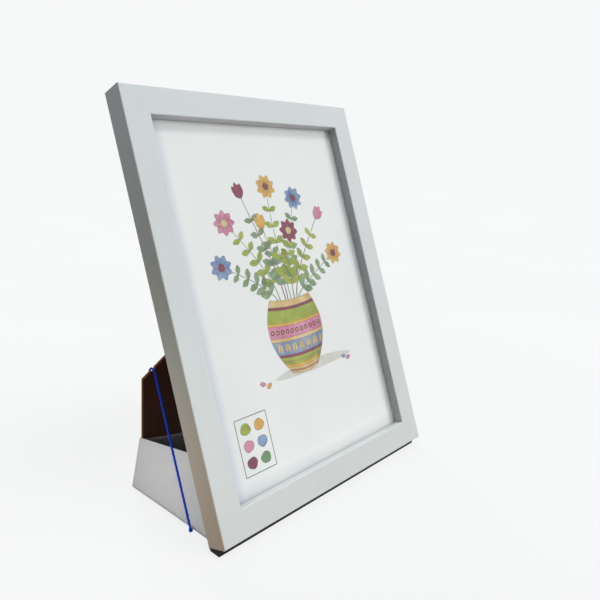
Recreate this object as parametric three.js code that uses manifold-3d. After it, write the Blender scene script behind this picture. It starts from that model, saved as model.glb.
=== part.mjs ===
// A wooden picture frame for an A4 sheet, leaning back on a fold-out easel leg with cloth gussets.
// Millimetres, +Z up, the glazed front faces -Y, and the frame stands on z = 0.
import * as THREE from "three";
import { mergeVertices } from "three/addons/utils/BufferGeometryUtils.js";
import Module from "manifold-3d";

// Sheet and moulding
const SHEET_W = 210;
const SHEET_H = 297;
const SHEET_T = 0.4;
const SHEET_PLAY = 1; // free space round the sheet inside the rabbet
const LIP_COVER = 6; // how far the sight lip covers the rabbet
const LIP_DEPTH = 8; // from the front face back to the glazing
const BACK_WALL = 15; // wood outside the rabbet, at the back
const FRAME_DEPTH = 19;
const EDGE_ROUND = 0.9;
const MITRE_GAP = 0.05; // each side of the joint line
const GLASS_T = 2;
const PANEL_T = 3;
const LAYER_GAP = 0.1; // between the layers in the rabbet
const SEAT_GAP = 0.1; // between a fitting and the face that carries it

// Corner nails, bent into a right angle across each mitre
const NAIL_IN = 5; // from the outer faces to the bend
const NAIL_LEG = 7;
const NAIL_T = 0.7;
const NAIL_DEPTH = 9;
const NAIL_SINK = 0.3;
const NAIL_PLAY = 0.15;

// Stance
const LEAN = THREE.MathUtils.degToRad(18);
const LEG_SPREAD = THREE.MathUtils.degToRad(28.5); // between the frame's back and the leg
const FOOT_T = 2.8; // foot strip at its thin rear edge
const FOOT_SETBACK = 8; // foot strip behind the frame's front edge
const FOOT_END_SETBACK = 0.6;
const FOOT_REAR_SETBACK = 0.6;

// Turn buttons and their screws
const BUTTON_T = 1.2;
const BUTTON_R = 4.5; // round end at the screw
const BUTTON_TIP_R = 3.2;
const BUTTON_REACH = 14; // from the screw to the centre of the tip
const BUTTON_EDGE = 8; // screw from the outer face of the moulding
const LOWER_BUTTON_UP = 150; // from the bottom edge
const UPPER_BUTTON_DOWN = 49; // from the top edge
const SCREW_R = 1.3;
const SCREW_LENGTH = 8;
const SCREW_HEAD_R = 2.8;
const SCREW_HEAD_T = 1.2;
const SCREW_PLAY = 0.25;
const SLOT_W = 0.6;
const SLOT_DEEP = 0.6;

// Leg hinge
const HINGE_UP = 220; // pin above the bottom edge, along the frame's back
const PIN_OFF = 6; // pin behind the frame's back
const PIN_R = 1.5;
const PIN_HEAD_R = 2.3;
const PIN_HEAD_T = 0.9;
const PIN_PLAY = 0.1;
const BRACKET_W = 46;
const BRACKET_H = 34;
const BRACKET_T = 1.2;
const EAR_APART = 32; // between the ears' inner faces
const EAR_R = 3.5;
const EAR_FOOT = 4.2; // half the ear's width where it leaves the plate
const LEAF_H = 34;
const LEAF_T = 1.2;
const LEAF_SIDE_PLAY = 1;
const RIVET_R = 1.2;
const RIVET_HEAD_R = 2.4;
const RIVET_HEAD_T = 0.9;
const RIVET_PLAY = 0.2;
const BRACKET_RIVET_UP = 11; // above the pin
const LEAF_RIVET_DOWN = 22; // below the pin
const RIVET_APART = 16;

// Easel leg
const LEG_T = 2.4;
const LEG_TOP_DROP = 4.5; // top edge below the pin
const NECK_W = 64;
const FOOT_INSET = 14.9; // leg's edge inside the frame's side, at the floor
const SHOULDER_INSET = 10.5; // and at the shoulder
const SHOULDER_UP = 103; // along the leg, from the floor
const SHOULDER_SLOPE = THREE.MathUtils.degToRad(38);
const LINING_T = 0.8;
const LINING_INSET = 0.6;
const LINING_SIDE_UP = 47.7; // lining's height at its sides, along the leg
const LINING_MID_UP = 33;
const LINING_HEM = 2;

// Gussets: a web from the frame's back to the leg, a flange on the stile and one behind the leg
const CLOTH_T = 0.7;
const CLOTH_GAP = 0.3;
const WEB_INSET = 6.4; // web's outer face inside the frame's side, at the floor
const WEB_FLARE = 0.115; // how far the web comes in for each unit of height
const HEM_UP = 1.1;
const WEB_FRAME_UP = 59.8; // web's top edge at the frame
const WEB_LEG_UP = 46.8; // and at the leg
const FRONT_FLANGE = 7;
const REAR_FLANGE = 22;
const STUD_R = 2.4;
const STUD_T = 1.1;
const STUD_SHANK_R = 0.9;
const STUD_SHANK = 4;
const STUD_PLAY = 0.2;
const STUD_UPS = [16, 46]; // along the frame's back
const LEG_RIVET_UPS = [12, 38]; // along the leg

// Stay cords: the left one's middle line, and the right one is its mirror image
const CORD_R = 1;
const CORD_SIDES = 8;
const CORD_ROUTE = [
  [-101.29, 49.72, 103.4],
  [-101.31, 49.02, 105.3],
  [-101.36, 47.95, 106.97],
  [-101.4, 46.54, 107.89],
  [-101.44, 44.97, 108.2],
  [-101.52, 42.88, 107.64],
  [-101.6, 41.42, 106.24],
  [-102.15, 39.25, 102.68],
  [-104.5, 29.91, 87.44],
  [-106.86, 20.58, 72.19],
  [-109.21, 11.25, 56.94],
  [-111.57, 1.91, 41.7],
  [-113.92, -7.42, 26.45],
  [-116.12, -16.13, 12.22],
  [-117.3, -20.8, 4.6],
];
const KNOT_R = 2.5;
const KNOT_FLAT = 0.8; // height of a knot against its width
const KNOT_GAP = 0.3;
const NOTCH_W = 3;
const NOTCH_FLOOR = 106.1; // lowest point of the notch in the leg's shoulder, above the floor

// Worked out from the sizes above
const FACE_W = BACK_WALL + LIP_COVER;
const RABBET_W = SHEET_W + 2 * SHEET_PLAY;
const RABBET_H = SHEET_H + 2 * SHEET_PLAY;
const FRAME_W = RABBET_W + 2 * BACK_WALL;
const FRAME_H = RABBET_H + 2 * BACK_WALL;
const SIDE_BUTTON_UPS = [LOWER_BUTTON_UP, FRAME_H - UPPER_BUTTON_DOWN];
const LEG_TILT = LEG_SPREAD - LEAN;
const SIDE = FRAME_W / 2;
const ROUND_STEPS = 3;
const SMALL_SIDES = 20;

const wasm = await Module();
wasm.setup();

function solidOf(geometry) {
  const bare = geometry.clone();
  bare.deleteAttribute("normal");
  bare.deleteAttribute("uv");
  const merged = mergeVertices(bare, 1e-4);
  const mesh = new wasm.Mesh({
    numProp: 3,
    vertProperties: merged.attributes.position.array,
    triVerts: new Uint32Array(merged.index.array),
  });
  return new wasm.Manifold(mesh);
}

function geometryOf(solid) {
  const mesh = solid.getMesh();
  const geometry = new THREE.BufferGeometry();
  geometry.setAttribute("position", new THREE.BufferAttribute(mesh.vertProperties, 3));
  geometry.setIndex(new THREE.BufferAttribute(mesh.triVerts, 1));
  geometry.computeVertexNormals();
  return geometry;
}

function cut(geometry, tools) {
  const cutSolid = (solid, tool) => solid.subtract(solidOf(tool));
  return geometryOf(tools.reduce(cutSolid, solidOf(geometry)));
}

function join(geometries) {
  return geometryOf(geometries.map(solidOf).reduce((a, b) => a.add(b)));
}

function shapeOf(points) {
  return new THREE.Shape(points.map(([a, b]) => new THREE.Vector2(a, b)));
}

// An outline in X and Z, given a thickness that runs back from the given Y.
function plate(shape, y, thickness, steps = 8) {
  const geometry = new THREE.ExtrudeGeometry(shape, {
    depth: thickness,
    bevelEnabled: false,
    curveSegments: steps,
  });
  geometry.rotateX(Math.PI / 2);
  return geometry.translate(0, y + thickness, 0);
}

// An outline in Y and Z, extruded along X from one place to another.
function bar(points, from, to) {
  const geometry = new THREE.ExtrudeGeometry(shapeOf(points), { depth: to - from, bevelEnabled: false });
  const axes = new THREE.Matrix4().makeBasis(
    new THREE.Vector3(0, 1, 0),
    new THREE.Vector3(0, 0, 1),
    new THREE.Vector3(1, 0, 0),
  );
  return geometry.applyMatrix4(axes).translate(from, 0, 0);
}

function block(width, y, thickness, bottom, height) {
  const geometry = new THREE.BoxGeometry(width, thickness, height);
  return geometry.translate(0, y + thickness / 2, bottom + height / 2);
}

// A turned piece about the Y axis, from [radius, y] pairs that run from the axis back to the axis.
function turned(profile, sides = SMALL_SIDES) {
  return new THREE.LatheGeometry(profile.map(([r, y]) => new THREE.Vector2(r, y)), sides);
}

function rod(radius, from, to, sides = SMALL_SIDES) {
  return turned([[0, from], [radius, from], [radius, to], [0, to]], sides);
}

function mirrored(geometry) {
  const flipped = geometry.clone().scale(-1, 1, 1);
  const index = flipped.index ?? new THREE.BufferAttribute(
    new Uint32Array(flipped.attributes.position.count).map((_, i) => i), 1);
  for (let i = 0; i < index.count; i += 3) {
    const second = index.getX(i + 1);
    index.setX(i + 1, index.getX(i + 2));
    index.setX(i + 2, second);
  }
  return flipped.setIndex(index);
}

const PAINT = { color: 0xd3d7d8, roughness: 0.45, metalness: 0 };
const STEEL = { color: 0xa9abad, roughness: 0.35, metalness: 0.9 };
const BRASS = { color: 0xb59a5b, roughness: 0.35, metalness: 0.9 };
const GLASS = { color: 0xe4efec, roughness: 0.05, metalness: 0, transparent: true, opacity: 0.25 };
const PAPER = { color: 0xe2e3e3, roughness: 0.8, metalness: 0 };
const CARD = { color: 0xb39a74, roughness: 0.9, metalness: 0 };
const HARDBOARD = { color: 0x5a3a26, roughness: 0.7, metalness: 0 };
const LEG_BROWN = { color: 0x24140c, roughness: 0.6, metalness: 0 };
const RUBBER = { color: 0x2f2f2d, roughness: 0.85, metalness: 0 };
const CLOTH = { color: 0xb8b7b6, roughness: 0.9, metalness: 0 };
const LINING = { color: 0x30302f, roughness: 0.95, metalness: 0 };
const CORD = { color: 0x12379c, roughness: 0.7, metalness: 0 };

function named(name, geometry, finish) {
  const mesh = new THREE.Mesh(geometry, new THREE.MeshStandardMaterial(finish));
  mesh.name = name;
  return mesh;
}

// The frame leans: its own Y runs back from the frame's back face and its own Z up along it.
const object = new THREE.Group();
const frame = new THREE.Group();
frame.position.z = FOOT_T;
frame.rotation.x = -LEAN;
object.add(frame);

// The leg's own frame has its origin on the hinge pin, Y through its thickness and Z up along it.
const leg = new THREE.Group();
leg.position.set(0, PIN_OFF, HINGE_UP);
leg.rotation.x = LEG_SPREAD;
frame.add(leg);
object.updateMatrixWorld(true);

function fromFrame(y, z) {
  const p = new THREE.Vector3(0, y, z).applyMatrix4(frame.matrixWorld);
  return [p.y, p.z];
}

function fromLeg(y, z) {
  const p = new THREE.Vector3(0, y, z).applyMatrix4(leg.matrixWorld);
  return [p.y, p.z];
}

// Height along the leg's own Z of the point that lies at a height above the floor.
const PIN_HEIGHT = fromLeg(0, 0)[1];
function legZ(height, y = 0) {
  return (height - PIN_HEIGHT - y * Math.sin(LEG_TILT)) / Math.cos(LEG_TILT);
}

// Height along the frame's own Z of the point that lies at a height above the floor.
function frameZ(height, y = 0) {
  return (height - FOOT_T + y * Math.sin(LEAN)) / Math.cos(LEAN);
}

// Moulding: section across the width of the face, with the rabbet at the inner back corner.
function mouldingSection() {
  const r = EDGE_ROUND;
  const front = -FRAME_DEPTH;
  const shape = new THREE.Shape();
  shape.moveTo(0, 0);
  shape.lineTo(0, front + r);
  shape.absarc(r, front + r, r, Math.PI, 1.5 * Math.PI, false);
  shape.lineTo(FACE_W - r, front);
  shape.absarc(FACE_W - r, front + r, r, 1.5 * Math.PI, 2 * Math.PI, false);
  shape.lineTo(FACE_W, front + LIP_DEPTH);
  shape.lineTo(BACK_WALL, front + LIP_DEPTH);
  shape.lineTo(BACK_WALL, 0);
  return shape;
}

// A length of moulding along X from its outer edge at z = 0, with both ends cut back at 45 degrees.
function moulding(length) {
  const geometry = new THREE.ExtrudeGeometry(mouldingSection(), {
    depth: 1,
    bevelEnabled: false,
    curveSegments: ROUND_STEPS,
  });
  const places = geometry.attributes.position;
  for (let i = 0; i < places.count; i += 1) {
    const across = places.getX(i);
    const end = places.getZ(i) > 0.5 ? -1 : 1;
    const x = end * (length / 2 - across - MITRE_GAP);
    places.setXYZ(i, x, places.getY(i), across);
  }
  return geometry;
}

// The right-angled nail at the lower left corner, grown by a clearance for its slot.
function cornerNail(grow) {
  const a = NAIL_IN - grow;
  const b = NAIL_IN + NAIL_LEG + grow;
  const c = NAIL_IN + NAIL_T + grow;
  const outline = shapeOf([[a, a], [b, a], [b, c], [c, c], [c, b], [a, b]]);
  const depth = NAIL_DEPTH - NAIL_SINK + 2 * grow;
  return plate(outline, -NAIL_DEPTH - grow, grow > 0 ? depth + NAIL_SINK + 1 : depth).translate(-SIDE, 0, 0);
}

function atCorner(geometry, right, top) {
  let placed = right ? mirrored(geometry) : geometry.clone();
  if (top) {
    placed = mirrored(placed.rotateY(Math.PI)).translate(0, 0, FRAME_H);
  }
  return placed;
}

const corners = [
  ["bottom_left", false, false],
  ["bottom_right", true, false],
  ["top_left", false, true],
  ["top_right", true, true],
];
const nailSlots = corners.map(([, right, top]) => atCorner(cornerNail(NAIL_PLAY), right, top));

// Turn buttons: where each screw stands on the back of the moulding, and which way its tip points.
const buttonPlaces = [];
for (const [i, up] of SIDE_BUTTON_UPS.entries()) {
  const level = ["lower", "upper"][i];
  buttonPlaces.push({ name: `left_${level}`, x: -SIDE + BUTTON_EDGE, z: up, turn: 0 });
  buttonPlaces.push({ name: `right_${level}`, x: SIDE - BUTTON_EDGE, z: up, turn: Math.PI });
}
buttonPlaces.push({ name: "bottom", x: 0, z: BUTTON_EDGE, turn: -Math.PI / 2 });
buttonPlaces.push({ name: "top", x: 0, z: FRAME_H - BUTTON_EDGE, turn: Math.PI / 2 });
const screwHoles = buttonPlaces.map(({ x, z }) =>
  rod(SCREW_R + SCREW_PLAY, -SCREW_LENGTH - 1, 1).translate(x, 0, z));

// Press studs sit on the flanges of the gussets, which lie on the stiles.
function webX(height) {
  return -SIDE + WEB_INSET + WEB_FLARE * height;
}

const studY = SEAT_GAP + CLOTH_GAP + CLOTH_T;
const studPlaces = [];
for (const [i, up] of STUD_UPS.entries()) {
  const height = fromFrame(0, up)[1];
  for (const side of [-1, 1]) {
    const name = `${side < 0 ? "left" : "right"}_${["lower", "upper"][i]}`;
    const x = side * -(webX(height) + CLOTH_T - FRONT_FLANGE / 2);
    studPlaces.push({ name, x, z: up });
  }
}
const studHoles = studPlaces.map(({ x, z }) =>
  rod(STUD_SHANK_R + STUD_PLAY, -STUD_SHANK, STUD_SHANK).translate(x, 0, z));

// The four mouldings, slotted for the corner nails and drilled for the screws and studs
const fittings = [...nailSlots, ...screwHoles, ...studHoles];
const bottomRail = moulding(FRAME_W);
const topRail = moulding(FRAME_W).rotateY(Math.PI).translate(0, 0, FRAME_H);
const leftStile = moulding(FRAME_H).rotateY(Math.PI / 2).translate(-SIDE, 0, FRAME_H / 2);
const rightStile = moulding(FRAME_H).rotateY(-Math.PI / 2).translate(SIDE, 0, FRAME_H / 2);
frame.add(named("bottom_rail", cut(bottomRail, fittings), PAINT));
frame.add(named("top_rail", cut(topRail, fittings), PAINT));
frame.add(named("left_stile", cut(leftStile, fittings), PAINT));
frame.add(named("right_stile", cut(rightStile, fittings), PAINT));
for (const [name, right, top] of corners) {
  frame.add(named(`corner_nail_${name}`, atCorner(cornerNail(0), right, top), STEEL));
}

// Foot strip: a wedge between the leaning bottom rail and the floor
const stripFront = fromFrame(-FRAME_DEPTH + FOOT_SETBACK, -SEAT_GAP);
const stripRear = fromFrame(-FOOT_REAR_SETBACK, -SEAT_GAP);
const strip = [[stripFront[0], 0], [stripRear[0], 0], stripRear, stripFront];
object.add(named("foot_strip", bar(strip, -SIDE + FOOT_END_SETBACK, SIDE - FOOT_END_SETBACK), RUBBER));

// The layers in the rabbet, from the sight lip back to the panel that is flush with the frame's back
const sheetBottom = BACK_WALL + SHEET_PLAY;
const glassY = -FRAME_DEPTH + LIP_DEPTH + LAYER_GAP;
const sheetY = glassY + GLASS_T + LAYER_GAP;
const fillerY = sheetY + SHEET_T + LAYER_GAP;
const panelY = -PANEL_T - LAYER_GAP;
const fillerT = panelY - LAYER_GAP - fillerY;
frame.add(named("glazing", block(SHEET_W, glassY, GLASS_T, sheetBottom, SHEET_H), GLASS));
frame.add(named("printed_sheet", block(SHEET_W, sheetY, SHEET_T, sheetBottom, SHEET_H), PAPER));
frame.add(named("filler_board", block(SHEET_W, fillerY, fillerT, sheetBottom, SHEET_H), CARD));

// Hinge bracket: a plate on the back panel with two ears that hold the pin
function bracketRivetPlaces() {
  return [-1, 1].map((side) => ({ x: (side * RIVET_APART) / 2, z: HINGE_UP + BRACKET_RIVET_UP }));
}

const panelHoles = bracketRivetPlaces().map(({ x, z }) =>
  rod(RIVET_R + RIVET_PLAY, -2 * PANEL_T, 2 * PANEL_T).translate(x, 0, z));
frame.add(named(
  "back_panel",
  cut(block(SHEET_W, panelY, PANEL_T, sheetBottom, SHEET_H), panelHoles),
  HARDBOARD,
));

function ear(side) {
  const base = SEAT_GAP + BRACKET_T / 2;
  const shape = new THREE.Shape();
  shape.moveTo(-EAR_FOOT, base);
  shape.lineTo(EAR_FOOT, base);
  shape.lineTo(EAR_R, PIN_OFF);
  shape.absarc(0, PIN_OFF, EAR_R, 0, Math.PI, false);
  const geometry = new THREE.ExtrudeGeometry(shape, { depth: BRACKET_T, bevelEnabled: false, curveSegments: 10 });
  // The ear's outline runs along Z and stands up along Y, and its thickness lies along X.
  geometry.applyMatrix4(new THREE.Matrix4().makeBasis(
    new THREE.Vector3(0, 0, 1),
    new THREE.Vector3(0, 1, 0),
    new THREE.Vector3(-1, 0, 0),
  ));
  const outer = side > 0 ? EAR_APART / 2 + BRACKET_T : -EAR_APART / 2;
  return geometry.translate(outer, 0, HINGE_UP);
}

function alongX(geometry) {
  return geometry.rotateZ(-Math.PI / 2);
}

const bracketPlate = block(BRACKET_W, SEAT_GAP, BRACKET_T, HINGE_UP - BRACKET_H / 2, BRACKET_H);
const pinBore = alongX(rod(PIN_R + PIN_PLAY, -BRACKET_W, BRACKET_W)).translate(0, PIN_OFF, HINGE_UP);
const bracket = cut(join([bracketPlate, ear(-1), ear(1)]), [pinBore, ...panelHoles]);
frame.add(named("hinge_bracket", bracket, STEEL));

// Pin with a head at each end, outside the ears
const pinHalf = EAR_APART / 2 + BRACKET_T + PIN_PLAY;
const pinTip = pinHalf + PIN_HEAD_T;
const pin = turned([
  [0, -pinTip],
  [PIN_HEAD_R, -pinTip],
  [PIN_HEAD_R, -pinHalf],
  [PIN_R, -pinHalf],
  [PIN_R, pinHalf],
  [PIN_HEAD_R, pinHalf],
  [PIN_HEAD_R, pinTip],
  [0, pinTip],
]);
frame.add(named("hinge_pin", alongX(pin).translate(0, PIN_OFF, HINGE_UP), STEEL));

// A rivet along Y with its shank forward of its seat and a low domed head behind it
function rivet(shank, headR, headT, shankR) {
  return turned([
    [0, -shank],
    [shankR, -shank],
    [shankR, 0],
    [headR, 0],
    [headR, headT * 0.35],
    [headR * 0.7, headT * 0.85],
    [0, headT],
  ]);
}

const bracketSeat = SEAT_GAP + BRACKET_T + SEAT_GAP;
for (const [i, { x, z }] of bracketRivetPlaces().entries()) {
  const geometry = rivet(bracketSeat + PANEL_T, RIVET_HEAD_R, RIVET_HEAD_T, RIVET_R);
  frame.add(named(`bracket_rivet_${["left", "right"][i]}`, geometry.translate(x, bracketSeat, z), STEEL));
}

// Turn buttons lie on the back of the frame with their tips over the panel.
function buttonOutline() {
  const shape = new THREE.Shape();
  shape.absarc(0, 0, BUTTON_R, Math.PI / 2, 1.5 * Math.PI, false);
  shape.lineTo(BUTTON_REACH, -BUTTON_TIP_R);
  shape.absarc(BUTTON_REACH, 0, BUTTON_TIP_R, -Math.PI / 2, Math.PI / 2, false);
  return shape;
}

// Wood screw along Y with a slotted pan head
function screw() {
  const body = turned([
    [0, -SCREW_LENGTH],
    [SCREW_R * 0.4, -SCREW_LENGTH + SCREW_R],
    [SCREW_R, -SCREW_LENGTH + 3 * SCREW_R],
    [SCREW_R, 0],
    [SCREW_HEAD_R, 0],
    [SCREW_HEAD_R, SCREW_HEAD_T * 0.6],
    [SCREW_HEAD_R * 0.75, SCREW_HEAD_T],
    [0, SCREW_HEAD_T],
  ]);
  const slot = block(3 * SCREW_HEAD_R, SCREW_HEAD_T - SLOT_DEEP, 2 * SLOT_DEEP, -SLOT_W / 2, SLOT_W);
  return cut(body, [slot]);
}

const screwSeat = SEAT_GAP + BUTTON_T + SEAT_GAP;
for (const { name, x, z, turn } of buttonPlaces) {
  const hole = rod(SCREW_R + SCREW_PLAY, -1, 2 * BUTTON_T);
  const button = named(`turn_button_${name}`, cut(plate(buttonOutline(), SEAT_GAP, BUTTON_T), [hole]), BRASS);
  button.position.set(x, 0, z);
  button.rotation.y = turn;
  frame.add(button);
  const fixing = named(`button_screw_${name}`, screw(), STEEL);
  fixing.position.set(x, screwSeat, z);
  frame.add(fixing);
}

// Easel leg: tapered sides, sloping shoulders, a neck up to the hinge and a foot cut level with the floor
const legFront = -LEG_T / 2;
const legBack = LEG_T / 2;
const footZ = legZ(0);
const shoulderX = SIDE - SHOULDER_INSET;
const shoulderZ = footZ + SHOULDER_UP;
const neckZ = shoulderZ + (shoulderX - NECK_W / 2) * Math.tan(SHOULDER_SLOPE);
const legOverrun = LEG_T; // left below the floor, to be cut off level

function legHalfWidth(z) {
  const share = (z - footZ) / SHOULDER_UP;
  return SIDE - FOOT_INSET + share * (FOOT_INSET - SHOULDER_INSET);
}

const toeX = legHalfWidth(footZ - legOverrun);
const legOutline = [
  [-toeX, footZ - legOverrun],
  [toeX, footZ - legOverrun],
  [shoulderX, shoulderZ],
  [NECK_W / 2, neckZ],
  [NECK_W / 2, -LEG_TOP_DROP],
  [-NECK_W / 2, -LEG_TOP_DROP],
  [-NECK_W / 2, neckZ],
  [-shoulderX, shoulderZ],
];
const floorCut = block(2 * FRAME_W, -FRAME_H, 2 * FRAME_H, -FRAME_H, FRAME_H);
floorCut.applyMatrix4(leg.matrixWorld.clone().invert());

const leafRivetPlaces = [-1, 1].map((side) => ({ x: (side * RIVET_APART) / 2, z: -LEAF_RIVET_DOWN }));
const leafRivetHoles = leafRivetPlaces.map(({ x, z }) =>
  rod(RIVET_R + RIVET_PLAY, -2 * LEG_T, 2 * LEG_T).translate(x, 0, z));

const legStudSeat = legBack + CLOTH_GAP + CLOTH_T + SEAT_GAP;
const legStudPlaces = [];
for (const [i, up] of LEG_RIVET_UPS.entries()) {
  const inner = webX(fromLeg(0, footZ + up)[1]) + REAR_FLANGE;
  for (const side of [-1, 1]) {
    const name = `${side < 0 ? "left" : "right"}_${["lower", "upper"][i]}`;
    legStudPlaces.push({ name, x: side * -(inner - 2 * STUD_R), z: footZ + up });
  }
}
const legStudHoles = legStudPlaces.map(({ x, z }) =>
  rod(STUD_SHANK_R + STUD_PLAY, -LEG_T, 2 * LEG_T).translate(x, 0, z));

// The notch in each shoulder that the stay cord passes through
const notchX = CORD_ROUTE[4][0];
const notchShape = new THREE.Shape();
notchShape.absarc(0, NOTCH_W / 2, NOTCH_W / 2, Math.PI, 2 * Math.PI, false);
notchShape.lineTo(NOTCH_W / 2, 4 * NOTCH_W);
notchShape.lineTo(-NOTCH_W / 2, 4 * NOTCH_W);
const notches = [-1, 1].map((side) =>
  plate(notchShape, -LEG_T, 2 * LEG_T).translate(side * -notchX, 0, legZ(NOTCH_FLOOR)));

const legCuts = [floorCut, ...leafRivetHoles, ...legStudHoles, ...notches];
leg.add(named("easel_leg", cut(plate(shapeOf(legOutline), legFront, LEG_T), legCuts), LEG_BROWN));

// Hinge leaf: a plate on the back of the leg that is rolled round the pin between the ears
const leafW = EAR_APART - 2 * LEAF_SIDE_PLAY;
const leafY = legBack + SEAT_GAP;
const barrelR = leafY + LEAF_T;
const leafPlate = block(leafW, leafY, LEAF_T, -LEAF_H, LEAF_H);
const barrel = alongX(rod(barrelR, -leafW / 2, leafW / 2, 24));
const barrelBore = alongX(rod(PIN_R + PIN_PLAY, -BRACKET_W, BRACKET_W));
leg.add(named("hinge_leaf", cut(join([leafPlate, barrel]), [barrelBore, ...leafRivetHoles]), STEEL));
const leafSeat = leafY + LEAF_T + SEAT_GAP;
for (const [i, { x, z }] of leafRivetPlaces.entries()) {
  const geometry = rivet(leafSeat - legFront, RIVET_HEAD_R, RIVET_HEAD_T, RIVET_R);
  leg.add(named(`leaf_rivet_${["left", "right"][i]}`, geometry.translate(x, leafSeat, z), STEEL));
}

// Lining on the inside of the leg, with a top edge that dips between its sides
const liningBottom = footZ + LINING_HEM;
const liningTop = footZ + LINING_SIDE_UP;
const liningLow = legHalfWidth(liningBottom) - LINING_INSET;
const liningHigh = legHalfWidth(liningTop) - LINING_INSET;
const liningShape = new THREE.Shape();
liningShape.moveTo(-liningLow, liningBottom);
liningShape.lineTo(liningLow, liningBottom);
liningShape.lineTo(liningHigh, liningTop);
liningShape.quadraticCurveTo(0, footZ + 2 * LINING_MID_UP - LINING_SIDE_UP, -liningHigh, liningTop);
leg.add(named("leg_lining", plate(liningShape, legFront - SEAT_GAP - LINING_T, LINING_T, 12), LINING));

// Gussets, in the object's own frame: every stretch is a bar along X, sheared so that the web flares out
const flangeFront = SEAT_GAP + CLOTH_GAP;
const flangeRear = legBack + CLOTH_GAP;
const hemFrame = frameZ(HEM_UP, flangeFront);
const hemLeg = legZ(HEM_UP, flangeRear);
const topFrame = frameZ(WEB_FRAME_UP, flangeFront);
const topLeg = legZ(WEB_LEG_UP, flangeRear);
const webOutline = [
  fromFrame(flangeFront, hemFrame),
  fromLeg(flangeRear + CLOTH_T, legZ(HEM_UP, flangeRear + CLOTH_T)),
  fromLeg(flangeRear + CLOTH_T, topLeg),
  fromFrame(flangeFront, topFrame),
];
const frontOutline = [
  fromFrame(flangeFront, hemFrame),
  fromFrame(flangeFront + CLOTH_T, frameZ(HEM_UP, flangeFront + CLOTH_T)),
  fromFrame(flangeFront + CLOTH_T, topFrame),
  fromFrame(flangeFront, topFrame),
];
const rearOutline = [
  fromLeg(flangeRear, hemLeg),
  fromLeg(flangeRear + CLOTH_T, legZ(HEM_UP, flangeRear + CLOTH_T)),
  fromLeg(flangeRear + CLOTH_T, topLeg),
  fromLeg(flangeRear, topLeg),
];
const webFrom = webX(0);
const flare = new THREE.Matrix4().makeShear(0, 0, 0, 0, WEB_FLARE, 0);
const leftGusset = cut(
  join([
    bar(webOutline, webFrom, webFrom + CLOTH_T),
    bar(frontOutline, webFrom + CLOTH_T - FRONT_FLANGE, webFrom + CLOTH_T),
    bar(rearOutline, webFrom, webFrom + REAR_FLANGE),
  ]).applyMatrix4(flare),
  [
    ...studHoles.map((hole) => hole.clone().applyMatrix4(frame.matrixWorld)),
    ...legStudHoles.map((hole) => hole.clone().applyMatrix4(leg.matrixWorld)),
  ],
);
object.add(named("gusset_left", leftGusset, CLOTH));
object.add(named("gusset_right", mirrored(leftGusset), CLOTH));

for (const { name, x, z } of studPlaces) {
  const geometry = rivet(studY + STUD_SHANK - 1, STUD_R, STUD_T, STUD_SHANK_R);
  frame.add(named(`gusset_stud_${name}`, geometry.translate(x, studY + SEAT_GAP, z), BRASS));
}
for (const { name, x, z } of legStudPlaces) {
  const geometry = rivet(legStudSeat - legFront - SEAT_GAP, STUD_R, STUD_T, STUD_SHANK_R);
  leg.add(named(`gusset_rivet_${name}`, geometry.translate(x, legStudSeat, z), BRASS));
}

// The origin stands under the middle of the object, cords left out
const box = new THREE.Box3().setFromObject(object, true);
object.position.y = -(box.min.y + box.max.y) / 2;

// Stay cords from behind the shoulders to the gussets' hems, with a knot at each end
const cords = new THREE.Group();
const route = CORD_ROUTE.map((p) => new THREE.Vector3(...p));
const cordSection = new THREE.Shape();
for (let i = 0; i < CORD_SIDES; i += 1) {
  const angle = (2 * Math.PI * i) / CORD_SIDES;
  const at = [CORD_R * Math.cos(angle), CORD_R * Math.sin(angle)];
  if (i === 0) {
    cordSection.moveTo(...at);
  } else {
    cordSection.lineTo(...at);
  }
}
const cordPath = new THREE.CatmullRomCurve3(route, false, "centripetal");
const cordSteps = Math.round(cordPath.getLength() / (5 * CORD_R));
const cord = new THREE.ExtrudeGeometry(cordSection, { steps: cordSteps, extrudePath: cordPath });
cords.add(named("stay_cord_left", cord, CORD));
cords.add(named("stay_cord_right", mirrored(cord), CORD));
function knot(at, towards) {
  const away = at.clone().sub(towards).normalize().multiplyScalar(KNOT_R * KNOT_FLAT + KNOT_GAP);
  const geometry = new THREE.SphereGeometry(KNOT_R, 14, 10).scale(1, 1, KNOT_FLAT);
  return geometry.translate(...at.clone().add(away).toArray());
}
const upperKnot = knot(route[0], route[1]);
const lowerKnot = knot(route.at(-1), route.at(-2));
cords.add(named("cord_knot_upper_left", upperKnot, CORD));
cords.add(named("cord_knot_upper_right", mirrored(upperKnot), CORD));
cords.add(named("cord_knot_lower_left", lowerKnot, CORD));
cords.add(named("cord_knot_lower_right", mirrored(lowerKnot), CORD));

const pictureFrame = new THREE.Group();
pictureFrame.add(object, cords);

export default pictureFrame;
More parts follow.
